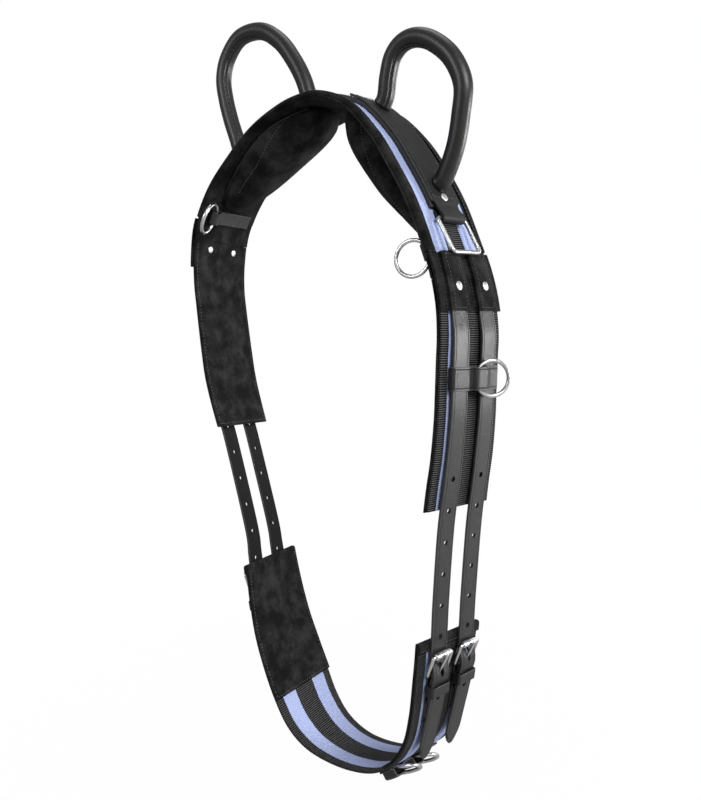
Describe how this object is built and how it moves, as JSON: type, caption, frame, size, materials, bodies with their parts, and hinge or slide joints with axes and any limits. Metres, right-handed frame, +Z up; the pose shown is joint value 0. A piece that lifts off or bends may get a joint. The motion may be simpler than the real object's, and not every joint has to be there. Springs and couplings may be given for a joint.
{
  "type": "lunging girth",
  "caption": "Padded webbing lunging girth with leather handles, side rein rings and roller-buckled billets, closed as a loop for the horse.",
  "frame": {"origin": "on the lining under the crown, where the girth lies on the horse's back", "axes": "+X to the near side of the horse, +Y towards its tail, +Z up"},
  "size_m": [0.4265, 0.1263, 0.9097],
  "materials": {
    "black_webbing": "matte woven, with light blue stripes",
    "suede": "brushed suede",
    "leather": "smooth, half matt",
    "nickel": "polished nickel plate",
    "steel": "plain"
  },
  "bodies": {
    "girth": {"upper_webbing": "black_webbing", "upper_lining": "suede", "top_strap": "leather", "belly_webbing": "black_webbing", "belly_strap": "leather", "near_flap_lining": "suede", "near_pad": "suede", "near_handle_plate": "leather", "near_handle_core": "steel", "near_handle_cover": "leather", "near_billet_patch": "suede", "near_ring_strap": "leather", "near_belly_lining": "suede", "near_front_billet": "leather", "near_front_billet_rivet": "nickel", "near_front_chape": "leather", "near_rear_billet": "leather", "near_rear_billet_rivet": "nickel", "near_rear_chape": "leather", "far_flap_lining": "suede", "far_pad": "suede", "far_handle_plate": "leather", "far_handle_core": "steel", "far_handle_cover": "leather", "far_billet_patch": "suede", "far_ring_strap": "leather", "far_belly_lining": "suede", "far_front_billet": "leather", "far_front_billet_rivet": "nickel", "far_front_chape": "leather", "far_rear_billet": "leather", "far_rear_billet_rivet": "nickel", "far_rear_chape": "leather"},
    "near_square_ring": {"near_square_ring": "nickel"},
    "near_front_ring": {"near_front_ring": "nickel"},
    "near_cross_keeper": {"near_cross_keeper": "leather"},
    "near_side_ring": {"near_side_ring": "nickel"},
    "near_front_buckle_frame": {"near_front_buckle_frame": "nickel"},
    "near_front_roller": {"near_front_roller": "nickel"},
    "near_front_tongue": {"near_front_tongue": "nickel"},
    "near_front_keeper": {"near_front_keeper": "leather"},
    "near_rear_buckle_frame": {"near_rear_buckle_frame": "nickel"},
    "near_rear_roller": {"near_rear_roller": "nickel"},
    "near_rear_tongue": {"near_rear_tongue": "nickel"},
    "near_rear_keeper": {"near_rear_keeper": "leather"},
    "far_square_ring": {"far_square_ring": "nickel"},
    "far_front_ring": {"far_front_ring": "nickel"},
    "far_cross_keeper": {"far_cross_keeper": "leather"},
    "far_side_ring": {"far_side_ring": "nickel"},
    "far_front_buckle_frame": {"far_front_buckle_frame": "nickel"},
    "far_front_roller": {"far_front_roller": "nickel"},
    "far_front_tongue": {"far_front_tongue": "nickel"},
    "far_front_keeper": {"far_front_keeper": "leather"},
    "far_rear_buckle_frame": {"far_rear_buckle_frame": "nickel"},
    "far_rear_roller": {"far_rear_roller": "nickel"},
    "far_rear_tongue": {"far_rear_tongue": "nickel"},
    "far_rear_keeper": {"far_rear_keeper": "leather"},
    "belly_front_ring": {"belly_front_ring": "nickel"},
    "belly_rear_ring": {"belly_rear_ring": "nickel"}
  },
  "joints": [
    {"name": "near_square_ring_swing", "type": "hinge", "parent": "girth", "child": "near_square_ring", "pos_m": [0.1442, -0.00128, -0.14084], "axis": [-0.1596, -0.985, -0.0653], "range_deg": [0, 135]},
    {"name": "near_front_ring_swing", "type": "hinge", "parent": "girth", "child": "near_front_ring", "pos_m": [0.13309, -0.03157, -0.17738], "axis": [0.3568, 0, -0.9342], "range_deg": [-78, 60]},
    {"name": "near_cross_keeper_slide", "type": "slide", "parent": "girth", "child": "near_cross_keeper", "axis": [-0.0233, 0, -0.9997], "range_m": [-0.012, 0.012]},
    {"name": "near_side_ring_swing", "type": "hinge", "parent": "near_cross_keeper", "child": "near_side_ring", "pos_m": [0.17401, 0.00144, -0.30909], "axis": [-0.0233, 0, -0.9997], "range_deg": [-2, 128]},
    {"name": "near_front_buckle_frame_tilt", "type": "hinge", "parent": "girth", "child": "near_front_buckle_frame", "pos_m": [0.14477, -0.02432, -0.63101], "axis": [0.2276, 0.9734, -0.0255], "range_deg": [0, 5]},
    {"name": "near_front_roller_turn", "type": "hinge", "parent": "near_front_buckle_frame", "child": "near_front_roller", "pos_m": [0.15296, -0.02562, -0.60778], "axis": [0.2276, 0.9734, -0.0255], "continuous": true},
    {"name": "near_front_tongue_tilt", "type": "hinge", "parent": "near_front_buckle_frame", "child": "near_front_tongue", "pos_m": [0.14477, -0.02432, -0.63101], "axis": [0.2276, 0.9734, -0.0255], "range_deg": [0, 3]},
    {"name": "near_front_keeper_slide", "type": "slide", "parent": "girth", "child": "near_front_keeper", "axis": [-0.1051, 0, -0.9945], "range_m": [-0.002, 0.002]},
    {"name": "near_rear_buckle_frame_tilt", "type": "hinge", "parent": "girth", "child": "near_rear_buckle_frame", "pos_m": [0.15547, 0.02143, -0.63221], "axis": [0.2276, 0.9734, -0.0255], "range_deg": [0, 5]},
    {"name": "near_rear_roller_turn", "type": "hinge", "parent": "near_rear_buckle_frame", "child": "near_rear_roller", "pos_m": [0.16365, 0.02013, -0.60897], "axis": [0.2276, 0.9734, -0.0255], "continuous": true},
    {"name": "near_rear_tongue_tilt", "type": "hinge", "parent": "near_rear_buckle_frame", "child": "near_rear_tongue", "pos_m": [0.15547, 0.02143, -0.63221], "axis": [0.2276, 0.9734, -0.0255], "range_deg": [0, 3]},
    {"name": "near_rear_keeper_slide", "type": "slide", "parent": "girth", "child": "near_rear_keeper", "axis": [-0.1051, 0, -0.9945], "range_m": [-0.002, 0.002]},
    {"name": "far_square_ring_swing", "type": "hinge", "parent": "girth", "child": "far_square_ring", "pos_m": [-0.17332, -0.00046, -0.07735], "axis": [-0.0488, 0.9981, 0.0382], "range_deg": [0, 135]},
    {"name": "far_front_ring_swing", "type": "hinge", "parent": "girth", "child": "far_front_ring", "pos_m": [-0.17237, -0.03314, -0.11314], "axis": [0.4711, 0, 0.8821], "range_deg": [-25, 94]},
    {"name": "far_cross_keeper_slide", "type": "slide", "parent": "girth", "child": "far_cross_keeper", "axis": [0.142, 0, -0.9899], "range_m": [-0.012, 0.012]},
    {"name": "far_side_ring_swing", "type": "hinge", "parent": "far_cross_keeper", "child": "far_side_ring", "pos_m": [-0.19992, 0.0023, -0.24524], "axis": [-0.142, 0, 0.9899], "range_deg": [-2, 128]},
    {"name": "far_front_buckle_frame_tilt", "type": "hinge", "parent": "girth", "child": "far_front_buckle_frame", "pos_m": [-0.11235, -0.02359, -0.59187], "axis": [0.0149, -0.9999, 0.0031], "range_deg": [0, 5]},
    {"name": "far_front_roller_turn", "type": "hinge", "parent": "far_front_buckle_frame", "child": "far_front_roller", "pos_m": [-0.12285, -0.02368, -0.56955], "axis": [0.0149, -0.9999, 0.0031], "continuous": true},
    {"name": "far_front_tongue_tilt", "type": "hinge", "parent": "far_front_buckle_frame", "child": "far_front_tongue", "pos_m": [-0.11235, -0.02359, -0.59187], "axis": [0.0149, -0.9999, 0.0031], "range_deg": [0, 3]},
    {"name": "far_front_keeper_slide", "type": "slide", "parent": "girth", "child": "far_front_keeper", "axis": [0.2361, 0, -0.9717], "range_m": [-0.002, 0.002]},
    {"name": "far_rear_buckle_frame_tilt", "type": "hinge", "parent": "girth", "child": "far_rear_buckle_frame", "pos_m": [-0.11304, 0.0234, -0.59201], "axis": [0.0149, -0.9999, 0.0031], "range_deg": [0, 5]},
    {"name": "far_rear_roller_turn", "type": "hinge", "parent": "far_rear_buckle_frame", "child": "far_rear_roller", "pos_m": [-0.12355, 0.02331, -0.5697], "axis": [0.0149, -0.9999, 0.0031], "continuous": true},
    {"name": "far_rear_tongue_tilt", "type": "hinge", "parent": "far_rear_buckle_frame", "child": "far_rear_tongue", "pos_m": [-0.11304, 0.0234, -0.59201], "axis": [0.0149, -0.9999, 0.0031], "range_deg": [0, 3]},
    {"name": "far_rear_keeper_slide", "type": "slide", "parent": "girth", "child": "far_rear_keeper", "axis": [0.2361, 0, -0.9717], "range_m": [-0.002, 0.002]},
    {"name": "belly_front_ring_swing", "type": "hinge", "parent": "girth", "child": "belly_front_ring", "pos_m": [0.09612, -0.03319, -0.75525], "axis": [-0.8227, 0, -0.5684], "range_deg": [0, 130]},
    {"name": "belly_rear_ring_swing", "type": "hinge", "parent": "girth", "child": "belly_rear_ring", "pos_m": [0.09986, 0.00323, -0.76066], "axis": [-0.8227, 0, -0.5684], "range_deg": [0, 90]}
  ]
}
